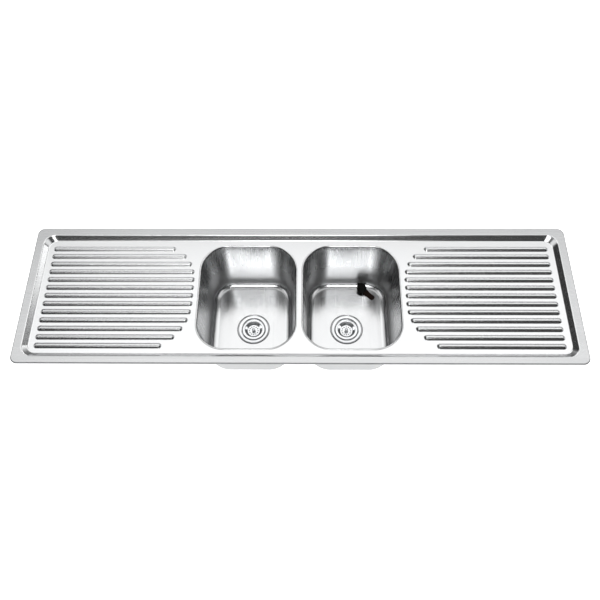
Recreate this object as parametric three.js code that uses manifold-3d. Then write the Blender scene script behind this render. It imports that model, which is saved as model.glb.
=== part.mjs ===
// A long inset kitchen sink top in pressed stainless steel: two bowls side by side in the middle, a ribbed
// drainer on each side, a strainer waste in each bowl, and the fixings that hold it in a worktop.
// Units are millimetres. +X runs along the sink, +Y to its back, +Z up.
// Heights below are measured from the top face of the rim. The finished group is lifted at the end, which
// puts the origin under the middle of the sink, level with the ends of the waste outlets.
import * as THREE from "three";
import { mergeVertices } from "three/addons/utils/BufferGeometryUtils.js";
import Module from "manifold-3d";

const wasm = await Module();
wasm.setup();

// ---- Driving dimensions ----
const LENGTH = 1800; // overall, along X
const DEPTH = 500; // overall, along Y
const SHEET = 1; // thickness of the pressed steel
const GAP = 0.3; // between pieces that rest on or are welded to each other

// The flat ledge and its turned-down edge.
const RIM = { width: 26, cornerRadius: 22, edgeRadius: 2.5, skirt: 6.5 };
// The slope from the rim down to the deck, with a short bend at each end.
const STEP = { run: 18, drop: 14, topCorner: 38, footCorner: 28, bendRun: 1.44, bendDrop: 0.45 };
const PANEL_SHIFT = 2; // the sunken deck sits this much forward, so the front ledge is the narrowest
const DECK_Z = -STEP.drop; // top face of the sunken deck

const RIB = { count: 13, pitch: 30, halfWidth: 10.5, height: 6, outerEnd: 840 }; // raised drainer ribs
// The ribs' inner ends follow a line that bows round the bowls, with a longer bend at the front.
const RIB_FIELD = {
  centreY: -5,
  innerX: 347,
  back: { straight: 61, radius: 133 },
  front: { straight: 31, radius: 172 },
};

const BOWL = {
  centreX: 171,
  centreY: -4,
  halfX: 158,
  halfY: 189,
  cornerRadius: 92,
  lipRadius: 5,
  lipStraight: 3,
  floorZ: -245,
  draft: 13, // how far each wall leans in over its height
  footRadius: 28, // between wall and floor
};
const WASTE = { x: 166, y: -16, recessRadius: 56, recess: 3, holeRadius: 45 }; // x is measured from the middle

const FLANGE_RADIUS = 54.5;
const WELL = { mouthRadius: 40.5, footRadius: 38.5, depth: 30, wall: 1.4, threadRadius: 43.3 };
const OUTLET = { boreRadius: 20, radius: 23.9, endDepth: 62 };
const BASKET = { rimRadius: 39.3, cupRadius: 30, footRadius: 22, rimDepth: 1.6, cupDepth: 13, wall: 1 };
const STOPPER = { stemRadius: 2.5, knobRadius: 6, sealRadius: 23, sealTopDepth: 20, sealThickness: 3 };

const CLAMP = {
  axisInset: 50, // from the sink's outer edge to the screw's axis
  strip: 2,
  width: 20,
  bracketDepth: 28, // down to the flange that carries the screw
  screwRadius: 3,
  screwLength: 34,
  screwStandsUp: 1.5, // above that flange
  armLength: 42,
  tipHeight: 18,
};
const EARTH_TAG = { x: 380, y: 170, top: 18, drop: 20, width: 14, strip: 1.5, holeRadius: 2.6 };
const STIFFENER = { length: 380, height: 18, crown: 24, flange: 10, strip: 1.2, xs: [480, 720] };

const ROUND_STEPS = 24; // straight sides that stand for a full circle
const CORNER_STEPS = 6; // and for a quarter circle in a plan outline

// ---- Materials ----
const finish = (color, metalness, roughness) =>
  new THREE.MeshStandardMaterial({ color, metalness, roughness });
const steel = finish(0xc9cbcc, 1, 0.28);
const polished = finish(0xd6d8d9, 1, 0.12);
const zincPlate = finish(0xa9adb0, 1, 0.45);
const rubber = finish(0x151312, 0, 0.8);
const foam = finish(0x2c2d2e, 0, 0.95);
const bitumen = finish(0x3a3a3b, 0, 0.9);
const nylon = finish(0xe6e6e1, 0, 0.5);

// ---- Solids ----
// A closed three.js geometry as a solid that can be cut and joined.
function solidOf(geometry) {
  const loose = geometry.index ? geometry.toNonIndexed() : geometry;
  const bare = new THREE.BufferGeometry().setAttribute("position", loose.getAttribute("position"));
  const merged = mergeVertices(bare, 1e-4);
  const mesh = new wasm.Mesh({
    numProp: 3,
    vertProperties: merged.attributes.position.array,
    triVerts: new Uint32Array(merged.index.array),
  });
  return new wasm.Manifold(mesh);
}

function geometryOf(solid) {
  const { vertProperties, triVerts } = solid.getMesh();
  const geometry = new THREE.BufferGeometry();
  geometry.setAttribute("position", new THREE.BufferAttribute(new Float32Array(vertProperties), 3));
  geometry.setIndex(new THREE.BufferAttribute(new Uint32Array(triVerts), 1));
  const faceted = geometry.toNonIndexed();
  faceted.computeVertexNormals();
  return faceted;
}

// Anticlockwise outline of a rectangle with round corners, centred on x, y.
// A radius equal to halfY makes a slot.
function roundedRectangle(halfX, halfY, radius, steps = CORNER_STEPS, x = 0, y = 0) {
  const points = [];
  for (let corner = 0; corner < 4; corner++) {
    const signX = corner === 0 || corner === 3 ? 1 : -1;
    const signY = corner < 2 ? 1 : -1;
    for (let i = 0; i <= steps; i++) {
      const angle = ((corner + i / steps) * Math.PI) / 2;
      const point = new THREE.Vector2(
        x + signX * (halfX - radius) + radius * Math.cos(angle),
        y + signY * (halfY - radius) + radius * Math.sin(angle),
      );
      if (!points.length || points.at(-1).distanceTo(point) > 1e-6) points.push(point);
    }
  }
  if (points[0].distanceTo(points.at(-1)) < 1e-6) points.pop();
  return points;
}

// Triangles between two rings of the same number of points, the second one further along the surface.
function bridge(positions, from, to) {
  for (let i = 0; i < from.length; i++) {
    const j = (i + 1) % from.length;
    for (const p of [from[i], from[j], to[j], from[i], to[j], to[i]]) positions.push(p.x, p.y, p.z);
  }
}

const ringAt = (outline, z) => outline.map((p) => new THREE.Vector3(p.x, p.y, z));

function geometryFrom(positions) {
  const attribute = new THREE.Float32BufferAttribute(positions, 3);
  return new THREE.BufferGeometry().setAttribute("position", attribute);
}

// A solid through plan outlines stacked from the lowest up. Each section is { outline, z }.
function loft(sections) {
  const positions = [];
  const rings = sections.map(({ outline, z }) => ringAt(outline, z));
  rings.slice(1).forEach((ring, i) => bridge(positions, rings[i], ring));
  const cap = (section, ring, up) => {
    for (const [a, b, c] of THREE.ShapeUtils.triangulateShape(section.outline, [])) {
      for (const k of up ? [a, b, c] : [a, c, b]) positions.push(ring[k].x, ring[k].y, ring[k].z);
    }
  };
  cap(sections[0], rings[0], false);
  cap(sections.at(-1), rings.at(-1), true);
  return solidOf(geometryFrom(positions));
}

// A closed frame: a closed profile of [inset, z] points carried round the outline that outlineAt gives.
function frame(outlineAt, profile) {
  const positions = [];
  const rings = profile.map(([inset, z]) => ringAt(outlineAt(inset), z));
  rings.forEach((ring, i) => bridge(positions, ring, rings[(i + 1) % rings.length]));
  return solidOf(geometryFrom(positions));
}

// A turned solid about +Z from an anticlockwise profile of [radius, z] points.
// The profile closes on itself or on the axis.
function turned(profile, steps = ROUND_STEPS) {
  const points = profile.map(([radius, z]) => new THREE.Vector2(radius, z));
  if (profile[0][0] > 0) points.push(points[0].clone());
  return solidOf(new THREE.LatheGeometry(points, steps).rotateX(Math.PI / 2));
}

const box = (sizeX, sizeY, sizeZ) => solidOf(new THREE.BoxGeometry(sizeX, sizeY, sizeZ));

function extruded(points, depth, holes = []) {
  const shape = new THREE.Shape(points);
  shape.holes = holes.map((hole) => new THREE.Path(hole));
  return solidOf(new THREE.ExtrudeGeometry(shape, { depth, bevelEnabled: false, steps: 1 }));
}

// A strip's side view of [x, z] points, given its width along Y and centred on Y = 0.
function sideExtrusion(points, width) {
  const outline = points.map(([x, z]) => new THREE.Vector2(x, z));
  return extruded(outline, width).rotate(90, 0, 0).translate(0, width / 2, 0);
}

const circle = (radius, steps = ROUND_STEPS) =>
  Array.from({ length: steps }, (_, i) => {
    const angle = (i * 2 * Math.PI) / steps;
    return new THREE.Vector2(radius * Math.cos(angle), radius * Math.sin(angle));
  });

// Points of a quarter circle from one [u, v] to another about a centre, both ends included.
function arc(centreU, centreV, radius, fromAngle, toAngle, steps) {
  return Array.from({ length: steps + 1 }, (_, i) => {
    const angle = THREE.MathUtils.degToRad(fromAngle + ((toAngle - fromAngle) * i) / steps);
    return [centreU + radius * Math.cos(angle), centreV + radius * Math.sin(angle)];
  });
}

// ---- The scene graph ----
const sink = new THREE.Group();
function piece(name, solid, material, { parent = sink, x = 0, y = 0, z = 0, turn = 0 } = {}) {
  const mesh = new THREE.Mesh(geometryOf(solid), material);
  mesh.name = name;
  mesh.position.set(x, y, z);
  mesh.rotation.z = turn;
  parent.add(mesh);
  return mesh;
}

// ---- Deck ----
// The plan outline at a distance in from the outer edge.
// Its corners open out across the rim and close on the step.
function rimOutline(inset) {
  const acrossRim = THREE.MathUtils.clamp((inset - RIM.edgeRadius) / (RIM.width - RIM.edgeRadius), 0, 1);
  const downStep = THREE.MathUtils.clamp((inset - RIM.width) / STEP.run, 0, 1);
  const onRim = THREE.MathUtils.lerp(RIM.cornerRadius, STEP.topCorner, acrossRim);
  const radius = THREE.MathUtils.lerp(onRim, STEP.footCorner, downStep);
  const shift = PANEL_SHIFT * acrossRim;
  return roundedRectangle(LENGTH / 2 - inset, DEPTH / 2 - inset + shift, radius, CORNER_STEPS, 0, -shift);
}

const STEP_FOOT = RIM.width + STEP.run;
const PLATE_EDGE = STEP_FOOT + 4; // the flat plate joins the rim frame here

function rimFrame() {
  const { width, edgeRadius, skirt } = RIM;
  const { bendRun, bendDrop } = STEP;
  const edge = arc(edgeRadius, -edgeRadius, edgeRadius, 180, 90, 3);
  const innerEdge = arc(edgeRadius, -edgeRadius, edgeRadius - SHEET, 90, 180, 3);
  const profile = [
    [0, -skirt],
    ...edge,
    [width, 0],
    [width + bendRun, -bendDrop],
    [STEP_FOOT - bendRun, DECK_Z + bendDrop],
    [STEP_FOOT, DECK_Z],
    [PLATE_EDGE, DECK_Z],
    [PLATE_EDGE, DECK_Z - SHEET],
    [STEP_FOOT - 0.3, DECK_Z - SHEET],
    [STEP_FOOT - bendRun - 0.5, DECK_Z + bendDrop - SHEET],
    [width + bendRun - 0.5, -bendDrop - SHEET],
    [width - 0.3, -SHEET],
    ...innerEdge,
    [SHEET, -skirt],
  ];
  return frame(rimOutline, profile);
}

const bowlOutline = (inset, side, steps = CORNER_STEPS) =>
  roundedRectangle(
    BOWL.halfX - inset,
    BOWL.halfY - inset,
    BOWL.cornerRadius - inset,
    steps,
    side * BOWL.centreX,
    BOWL.centreY,
  );

// The deck's sheet turns down into each bowl.
function bowlLip(side) {
  const { lipRadius, lipStraight } = BOWL;
  const bendZ = DECK_Z - lipRadius;
  const outside = arc(-lipRadius, bendZ, lipRadius, 90, 0, 3);
  const underside = arc(-lipRadius, bendZ, lipRadius - SHEET, 0, 90, 3);
  const profile = [
    ...outside,
    [0, bendZ - lipStraight],
    [-SHEET, bendZ - lipStraight],
    ...underside,
  ];
  return frame((inset) => bowlOutline(inset, side), profile);
}

// How far from the middle a rib's inner end lies, for a rib at this y.
function ribInnerEnd(y) {
  const { centreY, innerX, back, front } = RIB_FIELD;
  const { straight, radius } = y > centreY ? back : front;
  const past = Math.max(0, Math.abs(y - centreY) - straight);
  return innerX + radius - Math.sqrt(radius ** 2 - past ** 2);
}

// A rib's outside, or with an inset its hollow underside, as a stack of slots that round over to the crown.
function ribSolid(side, y, inset, baseZ, topZ) {
  const inner = ribInnerEnd(y) + inset;
  const outer = RIB.outerEnd - inset;
  const centreX = (side * (inner + outer)) / 2;
  const sections = [
    [RIB.halfWidth, 0],
    [RIB.halfWidth * 0.42, 0.8],
    [RIB.halfWidth * 0.16, 1],
  ].map(([halfWidth, share]) => {
    const shrink = RIB.halfWidth - halfWidth;
    const outline = roundedRectangle(
      (outer - inner) / 2 - shrink,
      halfWidth - inset * 0.8,
      halfWidth - inset * 0.8,
      2,
      centreX,
      y,
    );
    return { outline, z: baseZ + (topZ - baseZ) * share };
  });
  return loft(sections);
}

function deck() {
  const holes = [-1, 1].map((side) => bowlOutline(-BOWL.lipRadius, side));
  let sheet = extruded(rimOutline(PLATE_EDGE), SHEET, holes).translate(0, 0, DECK_Z - SHEET);
  sheet = sheet.add(rimFrame());
  for (const side of [-1, 1]) {
    sheet = sheet.add(bowlLip(side));
    for (let i = 0; i < RIB.count; i++) {
      const y = RIB_FIELD.centreY + (i - (RIB.count - 1) / 2) * RIB.pitch;
      const hollowTop = DECK_Z + RIB.height - SHEET;
      sheet = sheet.add(ribSolid(side, y, 0, DECK_Z - SHEET / 2, DECK_Z + RIB.height));
      sheet = sheet.subtract(ribSolid(side, y, SHEET, DECK_Z - SHEET - 0.5, hollowTop));
    }
  }
  return sheet;
}

// ---- Bowls ----
const BOWL_TOP = DECK_Z - BOWL.lipRadius - BOWL.lipStraight - GAP; // where the bowl is welded to the lip

// The space inside a bowl, or with a wall thickness its outside, from the floor up to topZ.
function bowlBody(side, wall, topZ) {
  const { draft, footRadius, floorZ } = BOWL;
  const footZ = floorZ + footRadius;
  const foot = arc(draft + footRadius, footZ, footRadius + wall, 270, 180, 4);
  const sections = foot.map(([inset, z]) => ({ outline: bowlOutline(inset, side), z }));
  sections.push({ outline: bowlOutline(-wall, side), z: topZ });
  return loft(sections);
}

function bowl(side) {
  const disc = (radius, low, high) =>
    turned([[0, low], [radius, low], [radius, high], [0, high]]).translate(side * WASTE.x, WASTE.y, 0);
  const recessZ = BOWL.floorZ - WASTE.recess;
  const outside = bowlBody(side, SHEET, BOWL_TOP).add(
    disc(WASTE.recessRadius + SHEET, recessZ - SHEET, BOWL.floorZ),
  );
  const inside = bowlBody(side, 0, BOWL_TOP + 1).add(disc(WASTE.recessRadius, recessZ, BOWL.floorZ + 1));
  return outside.subtract(inside).subtract(disc(WASTE.holeRadius, recessZ - 2 * SHEET, recessZ + 1));
}

// Sound-deadening mats on the outer wall and under the floor of each bowl.
const MAT = {
  thickness: 2.5,
  wallLength: 170,
  wallHeight: 100,
  floorLength: 170,
  floorWidth: 80,
  floorY: 92,
  drainerLength: 160,
  drainerWidth: 300,
};
function bowlMats(side, label) {
  const { draft, footRadius, floorZ, halfX, centreX, centreY } = BOWL;
  const footZ = floorZ + footRadius;
  const lean = Math.atan(draft / (BOWL_TOP - footZ));
  const standOff = (SHEET + GAP + MAT.thickness / 2) / Math.cos(lean);
  const wallMat = box(MAT.thickness, MAT.wallLength, MAT.wallHeight);
  piece(`wall_mat_${label}`, wallMat.rotate(0, THREE.MathUtils.radToDeg(side * lean), 0), bitumen, {
    x: side * (centreX + halfX - draft / 2 + standOff),
    y: centreY,
    z: (BOWL_TOP + footZ) / 2,
  });
  piece(`floor_mat_${label}`, box(MAT.floorLength, MAT.floorWidth, MAT.thickness), bitumen, {
    x: side * centreX,
    y: MAT.floorY,
    z: floorZ - SHEET - GAP - MAT.thickness / 2,
  });
}

// ---- Wastes ----
// Each group's origin is on the waste's axis, level with the bowl's floor.
function wasteBody() {
  const { mouthRadius, footRadius, depth, wall, threadRadius } = WELL;
  return turned([
    [FLANGE_RADIUS, -1.3],
    [FLANGE_RADIUS - 0.4, -0.3],
    [FLANGE_RADIUS - 3, 0.4],
    [mouthRadius + 2.5, 0.2],
    [mouthRadius + 0.6, -0.5],
    [mouthRadius, -3],
    [footRadius, -depth + 3],
    [footRadius - 4, -depth],
    [OUTLET.boreRadius, -depth - 1],
    [OUTLET.boreRadius, -OUTLET.endDepth],
    [OUTLET.radius, -OUTLET.endDepth],
    [OUTLET.radius, -depth - 1 - 2 * wall],
    [footRadius - 3, -depth - 2 * wall],
    [threadRadius, -depth + 4],
    [threadRadius, -1.3],
  ]);
}

const washer = (innerRadius, outerRadius, topDepth, thickness) =>
  turned([
    [innerRadius, -topDepth - thickness],
    [outerRadius, -topDepth - thickness],
    [outerRadius, -topDepth],
    [innerRadius, -topDepth],
  ]);

// A ring nut with eight lugs for a spanner.
function locknut(topDepth) {
  const lugs = 8;
  const outline = [];
  for (let i = 0; i < lugs * 4; i++) {
    const radius = i % 4 < 2 ? 57 : 52;
    const angle = ((i + 0.5) * 2 * Math.PI) / (lugs * 4);
    outline.push(new THREE.Vector2(radius * Math.cos(angle), radius * Math.sin(angle)));
  }
  return extruded(outline, 10, [circle(WELL.threadRadius + 0.5)]).translate(0, 0, -topDepth - 10);
}

function basket() {
  const { rimRadius, cupRadius, footRadius, rimDepth, cupDepth, wall } = BASKET;
  const stemHole = STOPPER.stemRadius + GAP;
  let cup = turned([
    [stemHole, -cupDepth - wall],
    [footRadius + 1, -cupDepth - wall],
    [cupRadius + wall, -rimDepth - wall - 1],
    [rimRadius, -rimDepth - wall],
    [rimRadius, -rimDepth],
    [cupRadius + 1, -rimDepth + 0.6],
    [cupRadius, -rimDepth - 0.8],
    [footRadius, -cupDepth],
    [stemHole, -cupDepth],
  ]);
  const holes = 10;
  for (let i = 0; i < holes; i++) {
    const hole = solidOf(new THREE.CylinderGeometry(2.2, 2.2, 6, 6).rotateX(Math.PI / 2));
    const angle = (i * 2 * Math.PI) / holes;
    cup = cup.subtract(hole.translate(15 * Math.cos(angle), 15 * Math.sin(angle), -cupDepth - wall / 2));
  }
  return cup;
}

// The knob and its stem, which carries the rubber seal below the basket.
function stopperKnob() {
  const { stemRadius, knobRadius, sealTopDepth, sealThickness } = STOPPER;
  return turned(
    [
      [0, -sealTopDepth - sealThickness + 0.5],
      [1.6, -sealTopDepth - sealThickness + 0.5],
      [1.6, -sealTopDepth],
      [stemRadius, -sealTopDepth],
      [stemRadius, -7],
      [knobRadius, -5.5],
      [knobRadius, -3],
      [knobRadius - 2, -1.2],
      [0, -0.8],
    ],
    16,
  );
}

function waste(side, label) {
  const group = new THREE.Group();
  group.position.set(side * WASTE.x, WASTE.y, BOWL.floorZ);
  sink.add(group);
  const at = { parent: group };
  const underFloor = WASTE.recess + SHEET + GAP;
  const inner = WELL.threadRadius + 0.5;
  piece(`waste_body_${label}`, wasteBody(), polished, at);
  piece(`flange_gasket_${label}`, washer(46, 54, 1.7, 1), foam, at);
  piece(`under_gasket_${label}`, washer(inner, 54, underFloor, 3.5), rubber, at);
  piece(`slip_ring_${label}`, washer(inner, 53, underFloor + 3.8, 1.5), nylon, at);
  piece(`locknut_${label}`, locknut(underFloor + 5.6), zincPlate, at);
  piece(`basket_${label}`, basket(), polished, at);
  piece(`stopper_knob_${label}`, stopperKnob(), polished, at);
  const { sealRadius, sealTopDepth, sealThickness } = STOPPER;
  piece(`stopper_seal_${label}`, washer(1.9, sealRadius, sealTopDepth + GAP, sealThickness), rubber, at);
}

// ---- Loose rubber plug with its pull strap, leaning on the foot of the right bowl's back wall ----
const PLUG = { x: 225, y: 145, radius: 17.5, baseRadius: 14, height: 14, tilt: 15 };
const STRAP = { turn: -41, start: 20.5, end: 58, startHalfWidth: 10.5, endHalfWidth: 8.5, thickness: 2.6 };
function loosePlug() {
  const { radius, baseRadius, height } = PLUG;
  const stopper = turned(
    [
      [0, 0],
      [baseRadius, 0],
      [radius - 1.5, height - 4],
      [radius, height - 3.5],
      [radius, height - 1],
      [radius - 1.5, height],
      [0, height],
    ],
    20,
  );
  const floor = BOWL.floorZ + GAP;
  const tilt = THREE.MathUtils.degToRad(PLUG.tilt);
  const lift = baseRadius * Math.sin(tilt);
  const plug = piece("loose_plug", stopper, rubber, { x: PLUG.x, y: PLUG.y, z: floor + lift });
  plug.rotation.x = tilt;
  piece("loose_plug_strap", plugStrap(), rubber, {
    x: PLUG.x,
    y: PLUG.y,
    z: floor,
    turn: THREE.MathUtils.degToRad(STRAP.turn),
  });
}

// The strap leaves the plug's side, droops to the floor and narrows to its end.
function plugStrap() {
  const { start, end, startHalfWidth, endHalfWidth, thickness } = STRAP;
  const [startZ, kneeZ, kneeX] = [8, 1.5, start + 12];
  const side = [
    [start, startZ],
    [start + 2, startZ],
    [kneeX, kneeZ],
    [end, 0],
    [end, thickness],
    [kneeX + 1, kneeZ + thickness],
    [start + 3, startZ + thickness],
    [start, startZ + thickness],
  ];
  const plan = [
    new THREE.Vector2(start - 1, -startHalfWidth),
    new THREE.Vector2(end - endHalfWidth / 2, -endHalfWidth),
    new THREE.Vector2(end + 1, -endHalfWidth / 2),
    new THREE.Vector2(end + 1, endHalfWidth / 2),
    new THREE.Vector2(end - endHalfWidth / 2, endHalfWidth),
    new THREE.Vector2(start - 1, startHalfWidth),
  ];
  return sideExtrusion(side, 2 * startHalfWidth).intersect(extruded(plan, 2 * startZ));
}

// ---- Under the deck ----
const UNDER_DECK = DECK_Z - SHEET - GAP;

function rimSeal() {
  const [outer, inner, bottom, top] = [5, 16, -7, -SHEET - GAP];
  const outlineAt = (inset) =>
    roundedRectangle(LENGTH / 2 - inset, DEPTH / 2 - inset, RIM.cornerRadius - inset);
  return frame(outlineAt, [[outer, bottom], [outer, top], [inner, top], [inner, bottom]]);
}

// A folded channel with two flanges, laid front to back under a drainer.
function stiffener() {
  const { length, height, crown, flange, strip } = STIFFENER;
  const half = crown / 2;
  const points = [
    [-half - flange, 0],
    [-half - flange, -strip],
    [-half - strip, -strip],
    [-half, -height],
    [half, -height],
    [half + strip, -strip],
    [half + flange, -strip],
    [half + flange, 0],
    [half, 0],
    [half - strip, -height + strip],
    [-half + strip, -height + strip],
    [-half, 0],
  ];
  return sideExtrusion(points, length);
}

// A lug with a hole for the earth wire.
function earthTag() {
  const { top, drop, width, strip, holeRadius } = EARTH_TAG;
  const points = [[0, 0], [top, 0], [top, -strip], [strip, -strip], [strip, -drop], [0, -drop]];
  const lug = sideExtrusion(points, width);
  const hole = new THREE.CylinderGeometry(holeRadius, holeRadius, 4 * strip, 12).rotateZ(Math.PI / 2);
  return lug.subtract(solidOf(hole).translate(0, 0, -drop * 0.65));
}

// ---- Worktop clamps ----
// Each group's origin is on its screw's axis at the deck's underside, with +X pointing out of the sink.
const SCREW_TOP = -CLAMP.bracketDepth + CLAMP.screwStandsUp;
const SCREW_HEAD = SCREW_TOP - CLAMP.screwLength; // the claw hangs on this shoulder

// A folded strip: the top flange is welded to the deck and the lower one carries the screw.
function clampBracket() {
  const { strip, width, bracketDepth, screwRadius } = CLAMP;
  const [outer, web, inner] = [9, -12, 8];
  const points = [
    [inner, 0],
    [inner, -strip],
    [web + strip, -strip],
    [web + strip, -bracketDepth],
    [outer, -bracketDepth],
    [outer, -bracketDepth - strip],
    [web, -bracketDepth - strip],
    [web, 0],
  ];
  const hole = washer(0, screwRadius + GAP, bracketDepth - 1, strip + 2);
  return sideExtrusion(points, width).subtract(hole);
}

function clampScrew() {
  const { screwRadius } = CLAMP;
  const headRadius = 5.5;
  return turned(
    [
      [0, SCREW_HEAD - 4],
      [headRadius - 1, SCREW_HEAD - 4],
      [headRadius, SCREW_HEAD - 2.5],
      [headRadius, SCREW_HEAD],
      [screwRadius, SCREW_HEAD],
      [screwRadius, SCREW_TOP - 1],
      [screwRadius - 1, SCREW_TOP],
      [0, SCREW_TOP],
    ],
    12,
  );
}

// The claw hangs on the screw's shoulder. Its tip turns up to bite on the worktop's underside.
function clampClaw() {
  const { strip, width, armLength, tipHeight, screwRadius } = CLAMP;
  const heel = -8;
  const plateZ = SCREW_HEAD + GAP;
  const points = [
    [heel, 0],
    [armLength, 0],
    [armLength, tipHeight],
    [armLength - strip, tipHeight],
    [armLength - 2.5 * strip, strip],
    [heel + strip, strip],
    [heel + strip, 3 * strip],
    [heel, 3 * strip],
  ];
  const strap = sideExtrusion(points, width - 4).translate(0, 0, plateZ);
  return strap.subtract(washer(0, screwRadius + GAP, -plateZ - 2 * strip, 4 * strip));
}

// The claw is stowed along the edge, a quarter turn clockwise from pointing out.
function clamp(label, x, y, outwards) {
  const group = new THREE.Group();
  group.position.set(x, y, UNDER_DECK);
  group.rotation.z = outwards;
  sink.add(group);
  piece(`clamp_bracket_${label}`, clampBracket(), zincPlate, { parent: group });
  piece(`clamp_screw_${label}`, clampScrew(), zincPlate, { parent: group });
  piece(`clamp_claw_${label}`, clampClaw(), zincPlate, { parent: group, turn: -Math.PI / 2 });
}

// ---- Assembly ----
piece("deck", deck(), steel);
piece("rim_seal", rimSeal(), foam);
for (const [side, label] of [[-1, "left"], [1, "right"]]) {
  piece(`bowl_${label}`, bowl(side), steel);
  bowlMats(side, label);
  waste(side, label);
  for (const [i, x] of STIFFENER.xs.entries()) {
    const place = i === 0 ? "inner" : "outer";
    piece(`stiffener_${label}_${place}`, stiffener(), zincPlate, { x: side * x, z: UNDER_DECK });
  }
  const drainerMat = box(MAT.drainerLength, MAT.drainerWidth, MAT.thickness);
  piece(`drainer_mat_${label}`, drainerMat, bitumen, { x: side * 600, z: UNDER_DECK - MAT.thickness / 2 });
  const outwards = side < 0 ? Math.PI : 0;
  clamp(`${label}_end`, side * (LENGTH / 2 - CLAMP.axisInset), 0, outwards);
}
piece("earth_tag", earthTag(), zincPlate, { x: EARTH_TAG.x, y: EARTH_TAG.y, z: UNDER_DECK });
for (const [x, place] of [[-600, "left"], [0, "middle"], [600, "right"]]) {
  clamp(`front_${place}`, x, -DEPTH / 2 + CLAMP.axisInset, -Math.PI / 2);
  clamp(`back_${place}`, x, DEPTH / 2 - CLAMP.axisInset, Math.PI / 2);
}
loosePlug();
sink.position.z = OUTLET.endDepth - BOWL.floorZ;

export default sink;
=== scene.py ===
"""The look of the double bowl, double drainer sink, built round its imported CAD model.

Lengths are in metres.
"""
import math

import bmesh
import bpy
from mathutils import Matrix, Vector


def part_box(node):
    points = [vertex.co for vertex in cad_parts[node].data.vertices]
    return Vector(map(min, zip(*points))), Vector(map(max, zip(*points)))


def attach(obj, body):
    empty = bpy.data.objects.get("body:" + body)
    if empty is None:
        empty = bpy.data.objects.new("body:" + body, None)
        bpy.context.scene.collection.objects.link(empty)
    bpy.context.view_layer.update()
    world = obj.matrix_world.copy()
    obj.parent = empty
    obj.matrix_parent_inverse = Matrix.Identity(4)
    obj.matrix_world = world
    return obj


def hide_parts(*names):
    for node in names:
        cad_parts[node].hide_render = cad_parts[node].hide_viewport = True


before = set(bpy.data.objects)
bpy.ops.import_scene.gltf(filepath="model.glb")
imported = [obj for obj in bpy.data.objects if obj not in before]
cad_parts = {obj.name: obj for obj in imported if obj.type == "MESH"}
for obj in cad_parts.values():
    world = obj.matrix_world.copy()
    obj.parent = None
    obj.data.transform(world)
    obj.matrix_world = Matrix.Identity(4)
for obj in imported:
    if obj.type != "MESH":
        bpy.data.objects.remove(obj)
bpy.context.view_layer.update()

MM = 0.001

# ---- Driving dimensions: the overall ones come from the CAD frame, and the others match the CAD's ----
DECK_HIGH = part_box("deck")[1]
HALF_LENGTH = DECK_HIGH.x
HALF_DEPTH = DECK_HIGH.y
RIM_TOP = DECK_HIGH.z
SHEET = 1 * MM  # thickness of the pressed steel

RIM_WIDTH = 26 * MM
RIM_CORNER = 22 * MM
RIM_EDGE = 2.5 * MM  # radius of the turned-down edge
RIM_SKIRT = 6.5 * MM  # height of the turned-down edge
STEP_RUN = 18 * MM
STEP_DROP = 14 * MM
BEND = 0.15  # share of a slope taken up by the bend at each end
STEP_TOP_CORNER = 38 * MM
STEP_FOOT_CORNER = 28 * MM
STEP_FOOT = RIM_WIDTH + STEP_RUN
DECK_TOP = RIM_TOP - STEP_DROP
PANEL_SHIFT = 2 * MM  # the sunken deck sits this much forward of the middle
RIM_MARGIN = 2 * MM  # width of the flat faces that keep the shading of a bend off the rim
DECK_MARGIN = 1.5 * MM  # the same for the deck
BEND_STEPS = 8
SHEET_SHARP = 60  # a pressed sheet looks smooth up to this angle

RIB_COUNT = 13
RIB_PITCH = 30 * MM
RIB_HALF_WIDTH = 10.5 * MM
RIB_HEIGHT = 6 * MM
RIB_CROWN = 5 * MM  # half width of the round crown
RIB_FOOT_BEND = 1.2 * MM
RIB_OUTER_END = 840 * MM
# The ribs' inner ends follow a line that bows round the bowls, at its nearest RIB_FIELD_X from the middle.
RIB_FIELD_X = 347 * MM
RIB_FIELD_Y = -5 * MM
# Straight half and bend radius of that line, behind the field's middle and in front of it.
RIB_FIELD_BACK = (61 * MM, 133 * MM)
RIB_FIELD_FRONT = (31 * MM, 172 * MM)

LIP_RADIUS = 5 * MM  # bend of the deck into a bowl
LIP_STRAIGHT = 3 * MM
BOWL_DRAFT = 13 * MM  # how far a wall leans in on its way down
BOWL_CORNER = 92 * MM
BOWL_FOOT = 28 * MM  # radius between wall and floor
RECESS_RADIUS = 56 * MM
RECESS_DEPTH = 3 * MM
RECESS_SLOPE = 3 * MM
WASTE_HOLE = 45 * MM
BOWL_MOUTH = DECK_TOP - LIP_RADIUS - LIP_STRAIGHT
BOWL_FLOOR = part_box("bowl_left")[0].z + SHEET + RECESS_DEPTH
BOWL_DEPTH = DECK_TOP - BOWL_FLOOR
FOOT_TOP = BOWL_FLOOR + BOWL_FOOT
WALL_LEAN = math.atan2(BOWL_DRAFT, BOWL_MOUTH - FOOT_TOP)
WALL_MAT = 2.5 * MM

SIDES = {"left": -1, "right": 1}


def plan_centre(node):
    """Middle of a CAD node in plan."""
    low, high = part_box(node)
    return ((low.x + high.x) / 2, (low.y + high.y) / 2)


def waste_axis(side_name):
    """Centre of a waste in plan."""
    return plan_centre("waste_body_" + side_name)


# ---- Outlines and profiles ----
CORNER_STEPS = 4


def smoothstep(t):
    """Runs from 0 to 1 as t does, level at both ends."""
    return t * t * (3 - 2 * t)


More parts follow.
